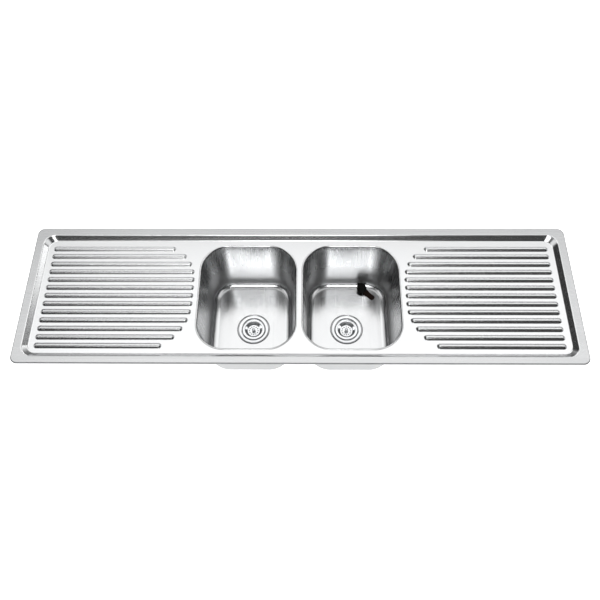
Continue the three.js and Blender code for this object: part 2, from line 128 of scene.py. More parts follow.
def rounded_rectangle(half_x, half_y, radius, centre=(0, 0), steps=20):
    """Anticlockwise points of a rectangle with round corners. A radius equal to half_y makes a slot."""
    same_place = 1e-6
    points = []
    for corner, (sign_x, sign_y) in enumerate([(1, 1), (-1, 1), (-1, -1), (1, -1)]):
        for i in range(steps + 1):
            angle = (corner + i / steps) * math.pi / 2
            x = centre[0] + sign_x * (half_x - radius) + radius * math.cos(angle)
            y = centre[1] + sign_y * (half_y - radius) + radius * math.sin(angle)
            points.append(Vector((x, y)))
    merged = [points[0]]
    for point in points[1:]:
        if (point - merged[-1]).length > same_place:
            merged.append(point)
    if (merged[0] - merged[-1]).length < same_place:
        merged.pop()
    return merged


def arc(start, end, steps):
    """Angles in radians that run from start to end, which are in degrees."""
    return [math.radians(start + (end - start) * i / steps) for i in range(steps + 1)]


def circle(radius, centre=(0, 0), steps=96):
    """Anticlockwise points of a circle."""
    angles = [2 * math.pi * i / steps for i in range(steps)]
    return [Vector((centre[0] + radius * math.cos(a), centre[1] + radius * math.sin(a))) for a in angles]


def rounded(points, radius, steps=CORNER_STEPS):
    """A closed polygon with each corner rounded, by no more than its sides leave room for."""
    side_share = 0.45
    result = []
    for i, corner in enumerate(points):
        before = Vector(points[i - 1]) - Vector(corner)
        after = Vector(points[(i + 1) % len(points)]) - Vector(corner)
        half_turn = before.angle(after) / 2
        room = min(before.length, after.length) * side_share
        reach = min(radius / math.tan(half_turn), room)
        start = Vector(corner) + before.normalized() * reach
        end = Vector(corner) + after.normalized() * reach
        for k in range(steps + 1):
            t = k / steps
            result.append(start.lerp(Vector(corner), t).lerp(Vector(corner).lerp(end, t), t))
    return result


def rounded_to_axis(profile, radius):
    """A profile of (radius, z) whose two ends are on the axis, with the corners between them rounded."""
    per_corner = CORNER_STEPS + 1
    return [profile[0], *rounded(profile, radius)[per_corner:-per_corner], profile[-1]]


# ---- Meshes ----
def ring(bm, outline, z):
    """The vertices of one plan outline at height z."""
    return [bm.verts.new((p.x, p.y, z)) for p in outline]


def bridge(bm, below, above, material=0):
    """Faces between two rings, outwards when the rings are anticlockwise and the second is higher."""
    faces = []
    count = len(below)
    for i in range(count):
        j = (i + 1) % count
        face = bm.faces.new((below[i], below[j], above[j], above[i]))
        face.material_index = material
        faces.append(face)
    return faces


def fill_between(bm, loops):
    """A flat face with holes: triangles between an outer ring and the rings inside it, facing up."""
    edges = []
    for loop in loops:
        for i, vertex in enumerate(loop):
            ends = (vertex, loop[(i + 1) % len(loop)])
            edges.append(bm.edges.get(ends) or bm.edges.new(ends))
    filled = bmesh.ops.triangle_fill(bm, use_beauty=True, edges=edges, normal=(0, 0, 1))
    faces = [item for item in filled["geom"] if isinstance(item, bmesh.types.BMFace)]
    for face in faces:
        if face.normal.z < 0:
            face.normal_flip()
    return faces


def smooth_mesh(name, bm, sharp_angle):
    """Turns bm into a mesh that is smooth but for edges sharper than an angle."""
    mesh = bpy.data.meshes.new(name)
    bm.to_mesh(mesh)
    bm.free()
    mesh.polygons.foreach_set("use_smooth", [True] * len(mesh.polygons))
    mesh.set_sharp_from_angle(angle=math.radians(sharp_angle))
    return mesh


def finish_object(name, bm, materials, body, node, sharp_angle=35):
    """Turns bm into an object that stands for a CAD node and rides on its body."""
    bm.normal_update()
    return place(name, smooth_mesh(name, bm, sharp_angle), materials, body, node)


def place(name, mesh, materials, body, node):
    """An object for a finished mesh, riding on a body in place of a CAD node."""
    item = bpy.data.objects.new(name, mesh)
    bpy.context.scene.collection.objects.link(item)
    for material in materials:
        mesh.materials.append(material)
    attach(item, body)
    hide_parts(node)
    return item


def add_solidify(item, thickness):
    """Gives a sheet its thickness on the side away from its normals."""
    solidify = item.modifiers.new("thickness", "SOLIDIFY")
    solidify.thickness = thickness
    solidify.offset = -1
    solidify.use_even_offset = True
    weighted = item.modifiers.new("weighted_normals", "WEIGHTED_NORMAL")
    weighted.keep_sharp = True


def lathe(bm, profile, centre, steps=96):
    """Adds a turned solid about a vertical axis, from a closed anticlockwise profile of (radius, z)."""
    rings = []
    for radius, z in profile:
        if radius:
            rings.append(ring(bm, circle(radius, centre, steps), z))
        else:
            rings.append([bm.verts.new((centre[0], centre[1], z))])
    for i, below in enumerate(rings):
        above = rings[(i + 1) % len(rings)]
        if len(below) == 1 and len(above) == 1:
            continue
        if len(below) == 1:
            for k in range(steps):
                bm.faces.new((below[0], above[(k + 1) % steps], above[k]))
        elif len(above) == 1:
            for k in range(steps):
                bm.faces.new((below[k], below[(k + 1) % steps], above[0]))
        else:
            bridge(bm, below, above)


def swept_frame(bm, outline_at, profile):
    """A closed clockwise profile of (inset, z), carried round the outline at each inset."""
    rings = [ring(bm, outline_at(inset), z) for inset, z in profile]
    for i, below in enumerate(rings):
        bridge(bm, below, rings[(i + 1) % len(rings)])


def slab(bm, outline, low, high):
    """A prism on a plan outline."""
    bottom = ring(bm, outline, low)
    top = ring(bm, outline, high)
    bridge(bm, bottom, top)
    bm.faces.new(list(reversed(bottom)))
    bm.faces.new(top)


def side_strip(bm, points, half_width):
    """A side view of (x, z) points, clockwise seen from the front, given its width along Y."""
    near = [bm.verts.new((x, -half_width, z)) for x, z in points]
    far = [bm.verts.new((x, half_width, z)) for x, z in points]
    count = len(points)
    for i in range(count):
        j = (i + 1) % count
        bm.faces.new((near[i], near[j], far[j], far[i]))
    bm.faces.new(list(reversed(near)))
    bm.faces.new(far)
    bmesh.ops.recalc_face_normals(bm, faces=bm.faces)


def threaded_rod(bm, radius, depth, pitch, low, high, steps=24, steps_per_turn=6):
    """Adds a rod on the Z axis whose side is a helical thread, with tapered ends."""
    rows = round((high - low) / pitch * steps_per_turn)
    taper_rows = 4
    rings = []
    for row in range(rows + 1):
        z = low + (high - low) * row / rows
        taper = min(1, (row + 1) / taper_rows, (rows - row + 1) / taper_rows)
        verts = []
        for i in range(steps):
            phase = (z / pitch - i / steps) % 1
            crest = abs(phase - 0.5) * 2
            r = radius - depth * (1 - crest * taper)
            angle = 2 * math.pi * i / steps
            verts.append(bm.verts.new((r * math.cos(angle), r * math.sin(angle), z)))
        rings.append(verts)
    for below, above in zip(rings, rings[1:]):
        bridge(bm, below, above)
    bm.faces.new(list(reversed(rings[0])))
    bm.faces.new(rings[-1])


# ---- Materials ----
NOISE_LOW = 0.3
NOISE_HIGH = 0.7


class Nodes:
    """A short way to build a material's node tree."""

    def __init__(self, name):
        self.material = bpy.data.materials.new(name)
        self.material.use_nodes = True
        self.tree = self.material.node_tree
        self.shader = self.tree.nodes["Principled BSDF"]
        self.object_coords = self.add("ShaderNodeTexCoord").outputs["Object"]

    def add(self, kind, inputs=None, **settings):
        node = self.tree.nodes.new(kind)
        for key, value in settings.items():
            setattr(node, key, value)
        for key, value in (inputs or {}).items():
            if isinstance(value, bpy.types.NodeSocket):
                self.tree.links.new(value, node.inputs[key])
            else:
                node.inputs[key].default_value = value
        return node

    def noise(self, grain, detail=4, roughness=0.55):
        """Noise with so many grains to the metre, along all axes alike or along each."""
        scale = grain if isinstance(grain, tuple) else (grain, grain, grain)
        mapping = self.add("ShaderNodeMapping", {"Vector": self.object_coords, "Scale": scale})
        texture = self.add("ShaderNodeTexNoise", {
            "Vector": mapping.outputs["Vector"],
            "Scale": 1,
            "Detail": detail,
            "Roughness": roughness,
        })
        return texture.outputs["Fac"]

    def cells(self, grain, **settings):
        """Distance from the middle of the nearest of many cells, so many to the metre."""
        inputs = {"Vector": self.object_coords, "Scale": grain}
        return self.add("ShaderNodeTexVoronoi", inputs, **settings).outputs["Distance"]

    def height(self):
        """Height above the origin."""
        return self.add("ShaderNodeSeparateXYZ", {"Vector": self.object_coords}).outputs["Z"]

    def ranged(self, value, low, high, from_low=NOISE_LOW, from_high=NOISE_HIGH):
        """Runs from low to high as a value goes over its range, by default a noise's usual one."""
        node = self.add("ShaderNodeMapRange", {
            "Value": value,
            "From Min": from_low,
            "From Max": from_high,
            "To Min": low,
            "To Max": high,
        })
        return node.outputs["Result"]

    def mixed(self, value, dark, light, from_low=NOISE_LOW, from_high=NOISE_HIGH):
        """Runs from dark to light as a value goes over its range."""
        value = self.ranged(value, 0, 1, from_low, from_high)
        node = self.add("ShaderNodeMix", data_type="RGBA")
        self.tree.links.new(value, node.inputs["Factor"])
        node.inputs["A"].default_value = (*dark, 1)
        node.inputs["B"].default_value = (*light, 1)
        return node.outputs["Result"]

    def bump(self, height, distance, under=None):
        """A normal from a height, on top of another normal if there is one."""
        inputs = {"Height": height, "Distance": distance}
        if under is not None:
            inputs["Normal"] = under
        return self.add("ShaderNodeBump", inputs).outputs["Normal"]

    def shade(self, **values):
        """Sets or links the shader's inputs. An underscore in a name stands for a space."""
        for key, value in values.items():
            socket = self.shader.inputs[key.replace("_", " ")]
            if isinstance(value, bpy.types.NodeSocket):
                self.tree.links.new(value, socket)
            else:
                socket.default_value = value
        return self.material


def brushed_steel(name, grain, base, rough, wave, scratch=0.004 * MM, spread=0.06, foot=0):
    """Stainless steel with fine scratches along the brushing, and slow waves left by the press.

    The base is its colour. The wave and the scratch are their heights, the spread is how far the
    roughness strays either way, and the foot is how much rougher the steel is low down in a bowl.
    """
    n = Nodes(name)
    smear_to_scratch = 0.12  # grains of the slow smears to those of the scratches
    dark_to_base = 0.93  # colour in the smears to the base
    scratches = n.noise(grain, detail=3, roughness=0.7)
    smear = n.noise(tuple(g * smear_to_scratch for g in grain), detail=5)
    waves = n.noise(PRESS_WAVES, detail=2)
    dark = tuple(c * dark_to_base for c in base)
    roughness = n.ranged(smear, rough - spread, rough + spread)
    if foot:
        foot_start = BOWL_FLOOR + 0.12 * BOWL_DEPTH
        foot_end = BOWL_FLOOR + 0.5 * BOWL_DEPTH
        added = n.ranged(n.height(), foot, 0, foot_start, foot_end)
        roughness = n.add("ShaderNodeMath", {0: roughness, 1: added}).outputs["Value"]
    normal = n.bump(scratches, scratch, under=n.bump(waves, wave))
    return n.shade(Base_Color=n.mixed(smear, dark, base), Metallic=1.0, Roughness=roughness, Normal=normal)


def polished_steel():
    """Bright steel with fine marks from polishing."""
    n = Nodes("polished_steel")
    spin = n.noise(900, detail=2)
    smear = n.noise(40)
    return n.shade(
        Base_Color=n.mixed(smear, (0.60, 0.61, 0.62), (0.68, 0.69, 0.70)),
        Metallic=1.0,
        Roughness=n.ranged(smear, 0.12, 0.22),
        Normal=n.bump(spin, 0.003 * MM),
    )


def zinc_plate():
    """Dull zinc plate with a faint pattern of flakes."""
    n = Nodes("zinc_plate")
    patches = n.noise(60, detail=5)
    return n.shade(
        Base_Color=n.mixed(n.cells(260), (0.46, 0.48, 0.50), (0.60, 0.62, 0.64), 0, 0.8),
        Metallic=1.0,
        Roughness=n.ranged(patches, 0.3, 0.5),
        Normal=n.bump(patches, 0.02 * MM),
    )


def grainy(name, dark, light, grain, height, rough_low, rough_high):
    """A dull material with a grain in its surface and slow patches in its colour."""
    n = Nodes(name)
    fine = n.noise(grain, detail=6)
    patches = n.noise(25, detail=3)
    return n.shade(
        Base_Color=n.mixed(patches, dark, light),
        Roughness=n.ranged(fine, rough_low, rough_high),
        Normal=n.bump(fine, height),
        Specular_IOR_Level=0.15,
    )


def rubber(name, dark, light, grain, rough_low):
    return grainy(name, dark, light, grain, 0.04 * MM, rough_low, 0.7)


def foam_strip():
    return grainy("foam_seal", (0.030, 0.030, 0.032), (0.055, 0.055, 0.058), 1400, 0.25 * MM, 0.85, 1.0)


def white_nylon():
    return grainy("white_nylon", (0.72, 0.72, 0.69), (0.80, 0.80, 0.77), 500, 0.02 * MM, 0.35, 0.5)


def embossed_mat():
    """Bitumen sheet with a pressed diamond pattern."""
    n = Nodes("bitumen_mat")
    fine = n.noise(900)
    diamonds = n.ranged(n.cells(120, distance="CHEBYCHEV"), 0, 1, 0.1, 0.5)
    return n.shade(
        Base_Color=n.mixed(fine, (0.020, 0.020, 0.021), (0.040, 0.040, 0.042)),
        Roughness=0.7,
        Normal=n.bump(fine, 0.06 * MM, under=n.bump(diamonds, 0.5 * MM)),
    )


# Scratches to the metre along each axis, for each way of brushing.
ALONG_X = (14, 1700, 1700)
ALONG_Y = (1700, 14, 1700)
UPRIGHT = (700, 700, 14)
PRESS_WAVES = (3.52, 7.04, 7.04)
LIGHT_STEEL = (0.66, 0.665, 0.67)
MID_STEEL = (0.64, 0.645, 0.65)
# The rim and the bowls' walls are the same pressed steel as the deck and the floors: their greyer base
# colour is painted shade.
SHADE_GREY_STEEL = (0.55, 0.555, 0.56)

# Painted shade: the rim's steel is greyer than the deck's, though both are one sheet.
rim_steel = brushed_steel("rim_steel", ALONG_X, SHADE_GREY_STEEL, 0.28, 0.5 * MM)
# Painted shade: the turned-down edge gets a much darker steel, for the dark line all round the rim's outer
# edge.
edge_steel = brushed_steel("edge_steel", ALONG_X, (0.3, 0.305, 0.31), 0.5, 0.25 * MM)
deck_steel = brushed_steel(
    "deck_steel", ALONG_X, LIGHT_STEEL, 0.18, 0.03 * MM, scratch=0.0025 * MM, spread=0.03
)
bowl_steel = brushed_steel("bowl_steel", ALONG_Y, MID_STEEL, 0.22, 0.5 * MM)
# Painted shade: the walls' steel is greyer than the floor's, though both are one pressed bowl.
wall_steel = brushed_steel(
    "wall_steel", UPRIGHT, SHADE_GREY_STEEL, 0.27, 0.3 * MM, scratch=0.003 * MM, spread=0.03, foot=0.2
)
outside_steel = brushed_steel("outside_steel", UPRIGHT, (0.56, 0.565, 0.57), 0.42, 0.3 * MM)
bright_steel = polished_steel()
zinc = zinc_plate()
black_rubber = rubber("black_rubber", (0.002, 0.0018, 0.0015), (0.005, 0.0045, 0.004), 700, 0.5)
strap_rubber = rubber("strap_rubber", (0.010, 0.004, 0.002), (0.022, 0.008, 0.004), 500, 0.55)
foam = foam_strip()
nylon = white_nylon()
bitumen = embossed_mat()


# ---- Deck ----
# Places of the deck's materials in its list.
RIM, DECK, EDGE = 0, 1, 2


def rim_outline(inset):
    """The deck's plan outline at a distance in from its outer edge."""
    across_rim = min(max((inset - RIM_EDGE) / (RIM_WIDTH - RIM_EDGE), 0), 1)
    down_step = min(max((inset - RIM_WIDTH) / STEP_RUN, 0), 1)
    on_rim = RIM_CORNER + (STEP_TOP_CORNER - RIM_CORNER) * across_rim
    radius = on_rim + (STEP_FOOT_CORNER - on_rim) * down_step
    shift = PANEL_SHIFT * across_rim
    return rounded_rectangle(HALF_LENGTH - inset, HALF_DEPTH - inset + shift, radius, (0, -shift))


def eased(t):
    """Runs from 0 to 1 as t does: a straight slope with a short bend at each end."""
    slope = 1 / (1 - BEND)
    if t < BEND:
        return slope * t * t / (2 * BEND)
    if t > 1 - BEND:
        return 1 - slope * (1 - t) ** 2 / (2 * BEND)
    return slope * (t - BEND / 2)


def rim_profile():
    """(inset, z, material) from the bottom of the skirt, over the rim and down the step to the deck."""
    step_rows = 20
    points = [(0, RIM_TOP - RIM_SKIRT, EDGE)]
    for angle in arc(180, 90, BEND_STEPS):
        inset = RIM_EDGE + RIM_EDGE * math.cos(angle)
        points.append((inset, RIM_TOP - RIM_EDGE + RIM_EDGE * math.sin(angle), EDGE))
    points.append((RIM_EDGE + RIM_MARGIN, RIM_TOP, RIM))
    points.append((RIM_WIDTH - RIM_MARGIN, RIM_TOP, RIM))
    for i in range(step_rows + 1):
        t = i / step_rows
        material = DECK if i else RIM
        points.append((RIM_WIDTH + STEP_RUN * t, RIM_TOP - STEP_DROP * eased(t), material))
    points.append((STEP_FOOT + DECK_MARGIN, DECK_TOP, DECK))
    return points


def rib_inner_end(y):
    """Distance from the middle of the sink to the inner end of the rib at y."""
    straight, radius = RIB_FIELD_BACK if y > RIB_FIELD_Y else RIB_FIELD_FRONT
    past = max(0, abs(y - RIB_FIELD_Y) - straight)
    return RIB_FIELD_X + radius - math.sqrt(radius ** 2 - past ** 2)


def rib_section():
    """(half width, height) from the rib's foot, up its flank and over its round crown."""
    crown_rows = 9
    slope = RIB_HEIGHT / (RIB_HALF_WIDTH - RIB_FOOT_BEND / 2 - RIB_CROWN / 2)
    points = []
    for t in (0, 0.35, 0.7, 1):
        points.append((RIB_HALF_WIDTH - RIB_FOOT_BEND * t, slope * RIB_FOOT_BEND * t * t / 2))
    points.append((RIB_CROWN * 1.5, RIB_HEIGHT - slope * RIB_CROWN))
    for i in range(crown_rows):
        t = 1 - i / crown_rows
        points.append((RIB_CROWN * t, RIB_HEIGHT - slope * RIB_CROWN * t * t / 2))
    return points


def add_rib(bm, side, y):
    """A raised rib with an arched section and rounded ends. Returns the ring at its foot."""
    inner = rib_inner_end(y)
    centre = (side * (inner + RIB_OUTER_END) / 2, y)
    half_length = (RIB_OUTER_END - inner) / 2
    rings = []
    for half_width, height in rib_section():
        shrink = RIB_HALF_WIDTH - half_width
        outline = rounded_rectangle(half_length - shrink, half_width, half_width, centre, steps=8)
        rings.append(ring(bm, outline, DECK_TOP + height))
    for below, above in zip(rings, rings[1:]):
        bridge(bm, below, above, DECK)
    bm.faces.new(rings[-1]).material_index = DECK
    return rings[0]


def bowl_outline(side_name, inset, steps=20):
    """A bowl's plan outline at a distance in from its mouth. Both bowls have the same size."""
    low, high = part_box("bowl_left")
    half_x = (high.x - low.x) / 2 - SHEET - inset
    half_y = (high.y - low.y) / 2 - SHEET - inset
    return rounded_rectangle(half_x, half_y, BOWL_CORNER - inset, plan_centre("bowl_" + side_name), steps)


def add_lip(bm, side_name):
    """The deck's sheet bending down into a bowl. Returns the ring where it leaves the flat deck."""
    rows = [(0, BOWL_MOUTH)]
    for angle in arc(0, 90, BEND_STEPS):
        inset = -LIP_RADIUS + LIP_RADIUS * math.cos(angle)
        rows.append((inset, DECK_TOP - LIP_RADIUS + LIP_RADIUS * math.sin(angle)))
    rows.append((-LIP_RADIUS - DECK_MARGIN, DECK_TOP))
    below = None
    for inset, z in rows:
        current = ring(bm, bowl_outline(side_name, inset), z)
        if below:
            for face in bridge(bm, current, below, DECK):
                face.normal_flip()
        below = current
    return below


def build_deck():
    bm = bmesh.new()
    below = None
    for inset, z, material in rim_profile():
        current = ring(bm, rim_outline(inset), z)
        if below:
            bridge(bm, below, current, material)
        below = current
    loops = [below]
    for side_name, side in SIDES.items():
        loops.append(add_lip(bm, side_name))
        for i in range(RIB_COUNT):
            loops.append(add_rib(bm, side, RIB_FIELD_Y + (i - (RIB_COUNT - 1) / 2) * RIB_PITCH))
    for face in fill_between(bm, loops):
        face.material_index = DECK
    materials = [rim_steel, deck_steel, edge_steel]
    item = finish_object("deck_skin", bm, materials, "sink", "deck", SHEET_SHARP)
    add_solidify(item, SHEET)


# ---- Bowls ----
# Places of a bowl's materials in its list.
WALL, FLOOR, OUTSIDE = 0, 1, 2


def bowl_rows():
    """(inset, z) from the bowl's mouth down its wall and round its foot to the floor."""
    wall_rows = 10
    rows = []
    for i in range(wall_rows):
        t = i / wall_rows
        rows.append((BOWL_DRAFT * t, BOWL_MOUTH + (FOOT_TOP - BOWL_MOUTH) * t))
    for angle in arc(180, 270, 2 * BEND_STEPS):
        inset = BOWL_DRAFT + BOWL_FOOT + BOWL_FOOT * math.cos(angle)
        rows.append((inset, FOOT_TOP + BOWL_FOOT * math.sin(angle)))
    return rows


def add_recess(bm, centre):
    """The sunken seat of a waste. Returns the ring where it leaves the floor."""
    seat = BOWL_FLOOR - RECESS_DEPTH
    bend = 0.4 * MM
    rings = []
    for radius, z in [
        (RECESS_RADIUS + RECESS_SLOPE, BOWL_FLOOR),
        (RECESS_RADIUS + 2 * MM, BOWL_FLOOR - bend),
        (RECESS_RADIUS, seat + bend),
        (RECESS_RADIUS - 0.6 * MM, seat),
        (WASTE_HOLE, seat),
    ]:
        rings.append(ring(bm, circle(radius, centre), z))
    for outer, inner in zip(rings, rings[1:]):
        for face in bridge(bm, inner, outer, FLOOR):
            face.normal_flip()
    return rings[0]


def build_bowl(side_name):
    """A pressed bowl: leaning walls, a round foot and a flat floor with a recess for the waste."""
    floor_brushing_top = BOWL_FLOOR + BOWL_FOOT * 0.4
    bm = bmesh.new()
    above = None
    for inset, z in bowl_rows():
        current = ring(bm, bowl_outline(side_name, inset, steps=24), z)
        if above:
            for face in bridge(bm, current, above, WALL if z > floor_brushing_top else FLOOR):
                face.normal_flip()
        above = current
    recess = add_recess(bm, waste_axis(side_name))
    for face in fill_between(bm, [above, recess]):
        face.material_index = FLOOR
    name = "bowl_shell_" + side_name
    materials = [wall_steel, bowl_steel, outside_steel]
    item = finish_object(name, bm, materials, "sink", "bowl_" + side_name, SHEET_SHARP)
    add_solidify(item, SHEET)
    item.modifiers["thickness"].material_offset = OUTSIDE


# ---- Wastes ----
# Sizes are in millimetres from the waste's axis and from the bowl's floor, as the CAD's are.
FLANGE = 54.5
WELL_MOUTH = 40.5
WELL_FOOT = 38.5
THREAD = 43.3
THREAD_PITCH = 1.5
THREAD_DEPTH = 0.8
NUT_BORE = THREAD + 0.5
GASKET_BORE = 46
OUTLET_BORE = 20
OUTLET = 23.9
OUTLET_END = -62


def placed(profile):
    """A waste's profile in metres and at its height."""
    return [(r * MM, BOWL_FLOOR + z * MM) for r, z in profile]


def thread_ridges(radius, low, high):
    """(radius, z) points of thread ridges from low up to high."""
    points = []
    for i in range(int((high - low) / THREAD_PITCH)):
        z = low + i * THREAD_PITCH
        points.append((radius - THREAD_DEPTH, z))
        points.append((radius, z + THREAD_PITCH / 2))
    points.append((radius - THREAD_DEPTH, high))
    return points


def turned_on_waste(kind, side_name, profile, material, body="sink", fillet=0.5, cutter=None):
    """A turned piece of a waste, from a closed anticlockwise (radius, z) profile in millimetres."""
    bm = bmesh.new()
    lathe(bm, placed(rounded(profile, fillet)), waste_axis(side_name))
    if cutter:
        bm = cut(bm, cutter)
    node = f"{kind}_{side_name}"
    finish_object("turned_" + node, bm, [material], body, node)


def cut(bm, cutter):
    """bm with the closed solid in the bmesh cutter taken away from it."""
    objects = []
    for part in (bm, cutter):
        mesh = bpy.data.meshes.new("part")
        part.to_mesh(mesh)
        part.free()
        objects.append(bpy.data.objects.new("part", mesh))
        bpy.context.scene.collection.objects.link(objects[-1])
    whole, tool = objects
    boolean = whole.modifiers.new("cut", "BOOLEAN")
    boolean.operation = "DIFFERENCE"
    boolean.object = tool
    evaluated = whole.evaluated_get(bpy.context.evaluated_depsgraph_get())
    result = bmesh.new()
    result.from_mesh(evaluated.to_mesh())
    for item in objects:
        bpy.data.objects.remove(item)
    return result


def rods(centres, radius, low, high, steps=24):
    """Upright rods, as a cutter."""
    bm = bmesh.new()
    for centre in centres:
        slab(bm, circle(radius, centre, steps), low, high)
    return bm


def build_waste_body(side_name):
    """A waste's flange, well and outlet in one, with threads for the locknut and the trap."""
    profile = [
        (FLANGE, -1.3),
        (FLANGE - 0.4, -0.8),
        (FLANGE - 2.6, 0.7),
        (WELL_MOUTH + 4, 0.2),
        (WELL_MOUTH + 0.9, -0.9),
        (WELL_MOUTH, -3),
        (WELL_FOOT, -27),
        (WELL_FOOT - 4, -30),
        (OUTLET_BORE, -31),
        (OUTLET_BORE, OUTLET_END),
        (OUTLET - THREAD_DEPTH, OUTLET_END),
        *thread_ridges(OUTLET, OUTLET_END + 1, -40),
        (OUTLET - THREAD_DEPTH, -33.8),
        (WELL_FOOT - 3, -32.8),
        (THREAD - THREAD_DEPTH, -26),
        *thread_ridges(THREAD, -25, -3),
        (THREAD - THREAD_DEPTH, -1.3),
    ]
    turned_on_waste("waste_body", side_name, profile, bright_steel, fillet=0.6)


def build_locknut(side_name):
    """A ring nut with eight lugs for a spanner."""
    low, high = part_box("locknut_" + side_name)
    centre = waste_axis(side_name)
    lugs = 8
    lug_height = 5 * MM
    lug_steepness = 3
    radius_between = (high.x - low.x) / 2 - lug_height
    chamfer = 0.8 * MM
    steps = 256

    def outline(inset):
        points = []
        for i in range(steps):
            angle = 2 * math.pi * i / steps
            t = min(max(math.cos(lugs * angle - math.pi / 4) * lug_steepness + 0.5, 0), 1)
            radius = radius_between + lug_height * smoothstep(t) - inset
            points.append(Vector((
                centre[0] + radius * math.cos(angle),
                centre[1] + radius * math.sin(angle),
            )))
        return points

    bm = bmesh.new()
    bore = circle(NUT_BORE * MM, centre, steps)
    rings = [
        ring(bm, outline(chamfer), low.z),
        ring(bm, outline(0), low.z + chamfer),
        ring(bm, outline(0), high.z - chamfer),
        ring(bm, outline(chamfer), high.z),
        ring(bm, bore, high.z),
        ring(bm, bore, low.z),
    ]
    for i, below in enumerate(rings):
        bridge(bm, below, rings[(i + 1) % len(rings)])
    node = "locknut_" + side_name
    finish_object("lugged_nut_" + side_name, bm, [zinc], "sink", node, 30)


def build_dish(side_name, body):
    """The strainer basket's flat rim and round dish with a ring of holes."""
    x, y = waste_axis(side_name)
    hole_count = 12
    hole_radius = 2.1 * MM
    ring_radius = 15.5 * MM
    holes = []
    for i in range(hole_count):
        angle = 2 * math.pi * i / hole_count
        holes.append((x + ring_radius * math.cos(angle), y + ring_radius * math.sin(angle)))
    cutter = rods(holes, hole_radius, BOWL_FLOOR - 20 * MM, BOWL_FLOOR - 10 * MM)
    profile = [
        (2.8, -14),
        (23, -14),
        (31, -3.6),
        (39.3, -2.6),
        (39.3, -1.6),
        (31.5, -1),
        (30, -2.4),
        (22, -13),
        (2.8, -13),
    ]
    turned_on_waste("basket", side_name, profile, bright_steel, body, 1.2, cutter)


def build_knob(side_name, body):
    """The basket's knob and the stem that carries its rubber seal."""
    profile = [
        (0, -22.8),
        (1.6, -22.8),
        (1.6, -20),
        (2.5, -19.9),
        (2.5, -8),
        (3.4, -7),
        (5.9, -5.6),
        (5.9, -3.2),
        (4.6, -1.6),
        (2.4, -0.9),
        (1.6, -1.3),
        (0, -1.4),
    ]
    bm = bmesh.new()
    lathe(bm, placed(rounded_to_axis(profile, 0.6)), waste_axis(side_name), 48)
    node = "stopper_knob_" + side_name
    finish_object("turned_" + node, bm, [bright_steel], body, node)


def build_basket(side_name):
    """The strainer basket, its knob and its rubber seal, which lift out as one."""
    body = "basket_" + side_name
    build_dish(side_name, body)
    build_knob(side_name, body)
    seal = [(1.9, -23.3), (22, -23.3), (23, -21.8), (22.4, -20.3), (1.9, -20.3)]
    turned_on_waste("stopper_seal", side_name, seal, black_rubber, body, 0.8)


def build_ring(kind, side_name, bore, material):
    """A flat ring as high and as wide as its CAD node."""
    low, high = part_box(f"{kind}_{side_name}")
    outer = (high.x - low.x) / 2 / MM
    bottom = (low.z - BOWL_FLOOR) / MM
    top = (high.z - BOWL_FLOOR) / MM
    profile = [(bore, bottom), (outer, bottom), (outer, top), (bore, top)]
    turned_on_waste(kind, side_name, profile, material)


def build_waste(side_name):
    build_waste_body(side_name)
    build_locknut(side_name)
    build_basket(side_name)
    build_ring("flange_gasket", side_name, GASKET_BORE, foam)
    build_ring("under_gasket", side_name, NUT_BORE, black_rubber)
    build_ring("slip_ring", side_name, NUT_BORE, nylon)


# ---- Under the deck ----
def folded_strip(points, half_width, bend, hole=None):
    """A mesh of a folded strip from its (x, z) side view, with round bends and eased edges."""
    bm = bmesh.new()
    side_strip(bm, [tuple(p) for p in rounded(points, bend)], half_width)
    if hole:
        bm = cut(bm, hole)
    eased_from = math.radians(50)
    edges = [e for e in bm.edges if len(e.link_faces) == 2 and e.calc_face_angle(0) > eased_from]
    bmesh.ops.bevel(bm, geom=edges, offset=0.25 * MM, segments=2, affect="EDGES", profile=0.5)
    return smooth_mesh("folded_strip", bm, 40)


def copy_to(name, mesh, matrix, material, body, node):
    """A copy of a mesh, moved by a matrix, as a piece in place of a CAD node."""
    moved = mesh.copy()
    moved.transform(matrix)
    moved.name = name
    place(name, moved, [material], body, node)


def build_stiffeners():
    """Two folded channels under each drainer."""
    low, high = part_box("stiffener_left_inner")
    height = high.z - low.z
    crown = 12 * MM
    strip = 1.2 * MM
    half_span = (high.x - low.x) / 2
    points = [
        (-half_span, 0),
        (-half_span, -strip),
        (-crown - strip, -strip),
        (-crown, -height),
        (crown, -height),
        (crown + strip, -strip),
        (half_span, -strip),
        (half_span, 0),
        (crown, 0),
        (crown - strip, -height + strip),
        (-crown + strip, -height + strip),
        (-crown, 0),
    ]
    mesh = folded_strip(points, (high.y - low.y) / 2, 0.9 * MM)
    for side_name in SIDES:
        for where in ("inner", "outer"):
            node = f"stiffener_{side_name}_{where}"
            matrix = Matrix.Translation((*plan_centre(node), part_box(node)[1].z))
            copy_to(f"channel_{side_name}_{where}", mesh, matrix, zinc, "sink", node)


def build_pad(node, half_x, half_y, thickness, matrix):
    """A sound-deadening mat with round corners and softened edges."""
    bm = bmesh.new()
    corner = 8 * MM
    soft = 0.7 * MM
    half = thickness / 2
    levels = [(soft, -half), (0, -half + soft), (0, half - soft), (soft, half)]
    below = None
    for inset, z in levels:
        outline = rounded_rectangle(half_x - inset, half_y - inset, corner - inset, steps=8)
        current = ring(bm, outline, z)
        if below:
            bridge(bm, below, current)
        else:
            bm.faces.new(list(reversed(current)))
        below = current
    bm.faces.new(below)
    bm.transform(matrix)
    finish_object("soft_" + node, bm, [bitumen], "sink", node, 50)


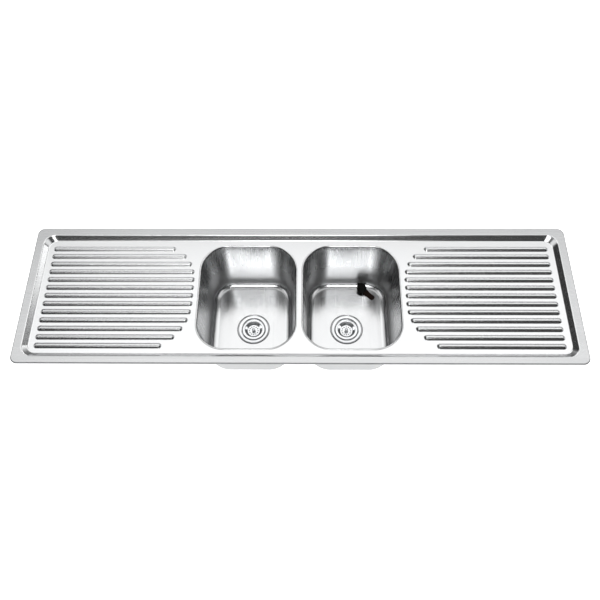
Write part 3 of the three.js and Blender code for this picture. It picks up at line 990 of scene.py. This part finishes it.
def build_mats():
    """Sound-deadening mats under the bowls and drainers, and on each bowl's leaning outer wall."""
    for side_name, side in SIDES.items():
        for kind in ("floor_mat", "drainer_mat"):
            node = f"{kind}_{side_name}"
            low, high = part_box(node)
            half = (high - low) / 2
            build_pad(node, half.x, half.y, half.z * 2, Matrix.Translation((low + high) / 2))
        node = "wall_mat_" + side_name
        low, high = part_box(node)
        upright = Matrix.Rotation(side * (math.pi / 2 + WALL_LEAN), 4, "Y")
        matrix = Matrix.Translation((low + high) / 2) @ upright
        height = (high.z - low.z - WALL_MAT * math.sin(WALL_LEAN)) / math.cos(WALL_LEAN)
        build_pad(node, height / 2, (high.y - low.y) / 2, WALL_MAT, matrix)


def build_rim_seal():
    """A foam strip all round under the rim."""
    low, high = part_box("rim_seal")
    width = 11 * MM
    outer = HALF_LENGTH - high.x
    inner = outer + width
    points = [(outer, low.z), (outer, high.z), (inner, high.z), (inner, low.z)]

    def outline_at(inset):
        return rounded_rectangle(HALF_LENGTH - inset, HALF_DEPTH - inset, RIM_CORNER - inset)

    bm = bmesh.new()
    swept_frame(bm, outline_at, [tuple(p) for p in rounded(points, 1.5 * MM)])
    finish_object("foam_seal_strip", bm, [foam], "sink", "rim_seal", 60)


def build_earth_tag():
    """A folded lug with a hole for an earth lead's screw."""
    low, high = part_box("earth_tag")
    width = high.x - low.x
    drop = high.z - low.z
    strip = 1.5 * MM
    points = [(0, 0), (width, 0), (width, -strip), (strip, -strip), (strip, -drop), (0, -drop)]
    hole_radius = 2.6 * MM
    hole_height = -drop * 0.65
    hole = rods([(0, 0)], hole_radius, -4 * strip, 4 * strip, 32)
    hole.transform(Matrix.Translation((0, 0, hole_height)) @ Matrix.Rotation(math.pi / 2, 4, "Y"))
    mesh = folded_strip(points, (high.y - low.y) / 2, 0.6 * MM, hole)
    matrix = Matrix.Translation((low.x, (low.y + high.y) / 2, high.z))
    copy_to("earth_lug", mesh, matrix, zinc, "sink", "earth_tag")


# ---- Worktop clamps: +X points out of the sink and the origin is on the screw's axis under the deck ----
CLAMP_STRIP = 2 * MM
CLAMP_HALF_WIDTH = 10 * MM
BRACKET_DEPTH = 28 * MM
SCREW_RADIUS = 3 * MM
SCREW_HOLE = 3.3 * MM
CLAW_ARM = 42 * MM
CLAW_TIP = 18 * MM
CLAMP_TURNS = {"left_end": 180, "right_end": 0, "front": -90, "back": 90}


def bracket_mesh():
    """A folded bracket, welded under the deck, with a hole for the screw in its foot."""
    outer, web, inner = 9 * MM, -12 * MM, 8 * MM
    foot = -BRACKET_DEPTH
    points = [
        (inner, 0),
        (inner, -CLAMP_STRIP),
        (web + CLAMP_STRIP, -CLAMP_STRIP),
        (web + CLAMP_STRIP, foot),
        (outer, foot),
        (outer, foot - CLAMP_STRIP),
        (web, foot - CLAMP_STRIP),
        (web, 0),
    ]
    hole = rods([(0, 0)], SCREW_HOLE, foot - 2 * CLAMP_STRIP, foot + CLAMP_STRIP, 32)
    return folded_strip(points, CLAMP_HALF_WIDTH, 0.9 * MM, hole)


def screw_mesh(top, shoulder, bottom):
    """A threaded screw with a hexagonal flanged head."""
    flange_radius = 5.5 * MM
    flange_bottom = shoulder - 1.2 * MM
    head_radius = 5 * MM
    bm = bmesh.new()
    threaded_rod(bm, SCREW_RADIUS, 0.45 * MM, 1 * MM, shoulder, top)
    slab(bm, circle(flange_radius, steps=48), flange_bottom, shoulder)
    slab(bm, circle(head_radius, steps=6), bottom, flange_bottom)
    return smooth_mesh("screw", bm, 35)


def claw_mesh(plate):
    """A claw whose tip bites the worktop from below. The plate is the height of its lower face."""
    heel = -8 * MM
    points = [
        (heel, 0),
        (CLAW_ARM, 0),
        (CLAW_ARM, CLAW_TIP),
        (CLAW_ARM - CLAMP_STRIP, CLAW_TIP),
        (CLAW_ARM - 2.5 * CLAMP_STRIP, CLAMP_STRIP),
        (heel + CLAMP_STRIP, CLAMP_STRIP),
        (heel + CLAMP_STRIP, 3 * CLAMP_STRIP),
        (heel, 3 * CLAMP_STRIP),
    ]
    points = [(x, plate + z) for x, z in points]
    hole = rods([(0, 0)], SCREW_HOLE, plate - CLAMP_STRIP, plate + 2 * CLAMP_STRIP, 32)
    return folded_strip(points, CLAMP_HALF_WIDTH - 2 * MM, 0.8 * MM, hole)


def build_clamps():
    """Eight clamps from one bracket, one screw and one claw, with the claws stowed along the edge."""
    under_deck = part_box("clamp_bracket_left_end")[1].z
    screw_low, screw_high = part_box("clamp_screw_left_end")
    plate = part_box("clamp_claw_left_end")[0].z - under_deck
    gap = 0.3 * MM
    shoulder = plate - gap
    bracket = bracket_mesh()
    screw = screw_mesh(screw_high.z - under_deck, shoulder, screw_low.z - under_deck)
    claw = claw_mesh(plate)
    prefix = "clamp_screw_"
    labels = [node[len(prefix):] for node in sorted(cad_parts) if node.startswith(prefix)]
    for label in labels:
        key = label if label.endswith("end") else label.split("_")[0]
        turn = Matrix.Rotation(math.radians(CLAMP_TURNS[key]), 4, "Z")
        there = Matrix.Translation((*plan_centre(prefix + label), under_deck)) @ turn
        stowed = there @ Matrix.Rotation(-math.pi / 2, 4, "Z")
        for kind, mesh, matrix, body in [
            ("bracket", bracket, there, "sink"),
            ("screw", screw, there, "screw_" + label),
            ("claw", claw, stowed, "claw_" + label),
        ]:
            copy_to(f"{kind}_{label}", mesh, matrix, zinc, body, f"clamp_{kind}_{label}")


# ---- Loose plug ----
PLUG_X = 225 * MM
PLUG_Y = 145 * MM
PLUG_TILT = math.radians(15)
PLUG_BASE = 14  # radius in millimetres
PLUG_DISH = 11.6  # height of the middle of its top, in millimetres
STRAP_ROOT = 15 * MM  # inside the plug's side, where the strap is moulded on
STRAP_END = 58 * MM
STRAP_TURN = math.radians(-41)
STRAP_HALF_THICKNESS = 1.3 * MM
STRAP_ROOT_HALF_WIDTH = 10.5 * MM
STRAP_END_HALF_WIDTH = 9 * MM


def build_plug():
    """A rubber plug leaning on the foot of the back wall, with a drooping pull strap."""
    centre = Vector((PLUG_X, PLUG_Y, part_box("loose_plug_strap")[0].z))
    profile = [
        (0, 0),
        (PLUG_BASE, 0),
        (16, 10),
        (17.5, 10.6),
        (17.5, 13),
        (15.6, 14),
        (13, 13.4),
        (11.5, 11.8),
        (0, PLUG_DISH),
    ]
    points = [(r * MM, z * MM) for r, z in rounded_to_axis(profile, 0.9)]
    bm = bmesh.new()
    lathe(bm, points, (0, 0), 64)
    lift = Vector((0, 0, PLUG_BASE * MM * math.sin(PLUG_TILT)))
    bm.transform(Matrix.Translation(centre + lift) @ Matrix.Rotation(PLUG_TILT, 4, "X"))
    finish_object("rubber_plug", bm, [black_rubber], "plug", "loose_plug")
    build_strap(centre)


def strap_section(t):
    """Half width and height of the strap's middle, from its root at t = 0 to its end at t = 1."""
    drop = 8 * MM
    drop_share = 0.4  # of the strap's length, over which it droops to the floor
    tip_share = 0.14  # of the strap's length, over which its tip is rounded
    blunt_share = 0.25  # of the strap's width, left at its tip
    height = STRAP_HALF_THICKNESS + drop * (1 - smoothstep(min(t / drop_share, 1)))
    into_tip = max(0, (t - 1 + tip_share) / tip_share)
    round_tip = math.sqrt(max(0, 1 - into_tip ** 2))
    tapered = STRAP_ROOT_HALF_WIDTH + (STRAP_END_HALF_WIDTH - STRAP_ROOT_HALF_WIDTH) * t
    half_width = tapered * (blunt_share + (1 - blunt_share) * round_tip)
    return half_width, height


def build_strap(centre):
    """The plug's pull strap, whose flat section has full, round sides."""
    bm = bmesh.new()
    stations = 28
    around = 20
    side_fullness = 0.5
    face_fullness = 0.8
    below = None
    for i in range(stations + 1):
        t = i / stations
        half_width, height = strap_section(t)
        x = STRAP_ROOT + (STRAP_END - STRAP_ROOT) * t
        current = []
        for k in range(around):
            angle = 2 * math.pi * k / around
            across = math.copysign(abs(math.cos(angle)) ** side_fullness, math.cos(angle))
            up = math.copysign(abs(math.sin(angle)) ** face_fullness, math.sin(angle))
            current.append(bm.verts.new((x, -across * half_width, height + up * STRAP_HALF_THICKNESS)))
        if below:
            bridge(bm, below, current)
        else:
            bm.faces.new(list(reversed(current)))
        below = current
    bm.faces.new(below)
    bmesh.ops.recalc_face_normals(bm, faces=bm.faces)
    bm.transform(Matrix.Translation(centre) @ Matrix.Rotation(STRAP_TURN, 4, "Z"))
    finish_object("rubber_strap", bm, [strap_rubber], "plug", "loose_plug_strap")


# ---- Stage ----
# The camera at the photograph's viewing angle: its place, angles in degrees and lens in millimetres.
CAMERA_PLACE = (0.0296, -1.0401, RIM_TOP + 1.903)
CAMERA_PITCH = 61.99
CAMERA_YAW = -1.525
CAMERA_ROLL = -1.261
CAMERA_LENS = 39.918

BACKDROP = 1.0
LOWEST_LIGHT = 0.02  # height below which the sky's slopes from upright are no longer told apart
# Levels of the studio's walls: front and back, and the shares left of them to the sides and at the foot.
WALLS = {"front": 0.06, "back": 0.4, "left": 0.12, "right": 0.3, "foot": 0.35}
# Where in the sky the walls' levels blend into each other, from -1 to 1 along each axis.
BLENDS = {"front": (-0.1, 0.5), "left": (-0.6, -0.25), "right": (0.4, 0.75), "foot": (0, 0.6)}
# Soft rectangular lights: left, right, front and back edge, softness of the edges, and level.
# The edges are slopes from upright: x/z from left to right, and y/z from front to back.
LIGHTS = [
    (-0.59, 0.59, 0.25, 0.71, 0.09, 1.2),  # ceiling
    (-0.56, 0.56, -0.06, 0.3, 0.2, 0.95),  # the ceiling's soft front edge
    (-0.16, 0.13, -0.98, -0.45, 0.05, 7.5),  # in front, seen in the bowls' back walls
    (-0.46, -0.2, -0.95, -0.55, 0.06, 2.5),  # beside it, on the left
    (0.62, 1.3, -0.4, 0.7, 0.08, 1.2),  # to the right of the ceiling
    (-1.3, -0.62, -0.4, 0.7, 0.08, 1.2),  # to the left of the ceiling
    (0.62, 2.6, 1.1, 2.0, 0.08, 1.2),  # behind, to the right
    (1.4, 2.2, 1.0, 1.15, 0.04, 2.6),  # beside that one, seen in the left step
    (-0.8, 0.8, 1.4, 2.8, 0.5, 2.6),  # low behind, seen in the front step
]


def look_from(location, pitch, yaw, roll, lens):
    """The camera: pitch is below the horizon, yaw is from +Y towards +X, both in degrees."""
    pitch, yaw, roll = (math.radians(a) for a in (pitch, yaw, roll))
    forward = Vector((math.sin(yaw) * math.cos(pitch), math.cos(yaw) * math.cos(pitch), -math.sin(pitch)))
    level = Vector((math.cos(yaw), -math.sin(yaw), 0))
    upright = level.cross(forward)
    right = level * math.cos(roll) + upright * math.sin(roll)
    up = -level * math.sin(roll) + upright * math.cos(roll)
    camera = bpy.data.objects.new("camera", bpy.data.cameras.new("camera"))
    camera.matrix_world = Matrix((
        (right.x, up.x, -forward.x, location[0]),
        (right.y, up.y, -forward.y, location[1]),
        (right.z, up.z, -forward.z, location[2]),
        (0, 0, 0, 1),
    ))
    camera.data.lens = lens
    bpy.context.scene.collection.objects.link(camera)
    bpy.context.scene.camera = camera


def build_floor():
    """A large white floor that glows a little, so that it comes out as pale as the backdrop."""
    bm = bmesh.new()
    half = 12  # metres
    corners = [(-half, -half), (half, -half), (half, half), (-half, half)]
    bm.faces.new([bm.verts.new((x, y, 0)) for x, y in corners])
    mesh = bpy.data.meshes.new("floor")
    bm.to_mesh(mesh)
    bm.free()
    floor = bpy.data.objects.new("floor", mesh)
    bpy.context.scene.collection.objects.link(floor)
    n = Nodes("pale_floor")
    glow = {"Emission_Color": (1, 1, 1, 1), "Emission_Strength": 0.9}
    mesh.materials.append(n.shade(Base_Color=(0.86, 0.86, 0.86, 1), Roughness=0.9, **glow))


def build_world():
    """Soft lights over dim walls, for the steel to mirror. The camera sees a plain pale backdrop."""
    world = bpy.data.worlds.new("studio")
    world.use_nodes = True
    tree = world.node_tree
    tree.nodes.clear()

    def math_node(operation, a, b):
        node = tree.nodes.new("ShaderNodeMath")
        node.operation = operation
        for socket, value in zip(node.inputs, (a, b)):
            if isinstance(value, bpy.types.NodeSocket):
                tree.links.new(value, socket)
            else:
                socket.default_value = value
        return node.outputs["Value"]

    def smooth(value, low, high, from_level=0.0, to_level=1.0):
        node = tree.nodes.new("ShaderNodeMapRange")
        node.interpolation_type = "SMOOTHSTEP"
        tree.links.new(value, node.inputs["Value"])
        node.inputs["From Min"].default_value = low
        node.inputs["From Max"].default_value = high
        node.inputs["To Min"].default_value = from_level
        node.inputs["To Max"].default_value = to_level
        return node.outputs["Result"]

    coords = tree.nodes.new("ShaderNodeTexCoord").outputs["Generated"]
    split = tree.nodes.new("ShaderNodeSeparateXYZ")
    tree.links.new(coords, split.inputs["Vector"])
    x, y, z = split.outputs
    height = math_node("MAXIMUM", z, LOWEST_LIGHT)
    across = math_node("DIVIDE", x, height)
    along = math_node("DIVIDE", y, height)
    level = smooth(y, *BLENDS["front"], WALLS["front"], WALLS["back"])
    level = math_node("MULTIPLY", level, smooth(z, *BLENDS["foot"], WALLS["foot"], 1))
    level = math_node("MULTIPLY", level, smooth(x, *BLENDS["left"], WALLS["left"], 1))
    level = math_node("MULTIPLY", level, smooth(x, *BLENDS["right"], 1, WALLS["right"]))
    for left, right, front, back, soft, strength in LIGHTS:
        shape = None
        for value, start, end in ((across, left, right), (along, front, back)):
            for mask in (
                smooth(value, start - soft, start + soft),
                smooth(value, end - soft, end + soft, 1, 0),
            ):
                shape = mask if shape is None else math_node("MULTIPLY", shape, mask)
        level = math_node("ADD", level, math_node("MULTIPLY", shape, strength))
    seen = tree.nodes.new("ShaderNodeLightPath").outputs["Is Camera Ray"]
    mix = tree.nodes.new("ShaderNodeMix")
    tree.links.new(seen, mix.inputs["Factor"])
    tree.links.new(level, mix.inputs["A"])
    mix.inputs["B"].default_value = BACKDROP
    background = tree.nodes.new("ShaderNodeBackground")
    tree.links.new(mix.outputs["Result"], background.inputs["Strength"])
    output = tree.nodes.new("ShaderNodeOutputWorld")
    tree.links.new(background.outputs["Background"], output.inputs["Surface"])
    background.inputs["Color"].default_value = (1, 1, 1, 1)
    bpy.context.scene.world = world


build_deck()
build_rim_seal()
build_stiffeners()
build_mats()
build_earth_tag()
build_clamps()
build_plug()
for side_name in SIDES:
    build_bowl(side_name)
    build_waste(side_name)
look_from(CAMERA_PLACE, CAMERA_PITCH, CAMERA_YAW, CAMERA_ROLL, CAMERA_LENS)
build_floor()
build_world()
bpy.context.scene.view_settings.view_transform = "Standard"
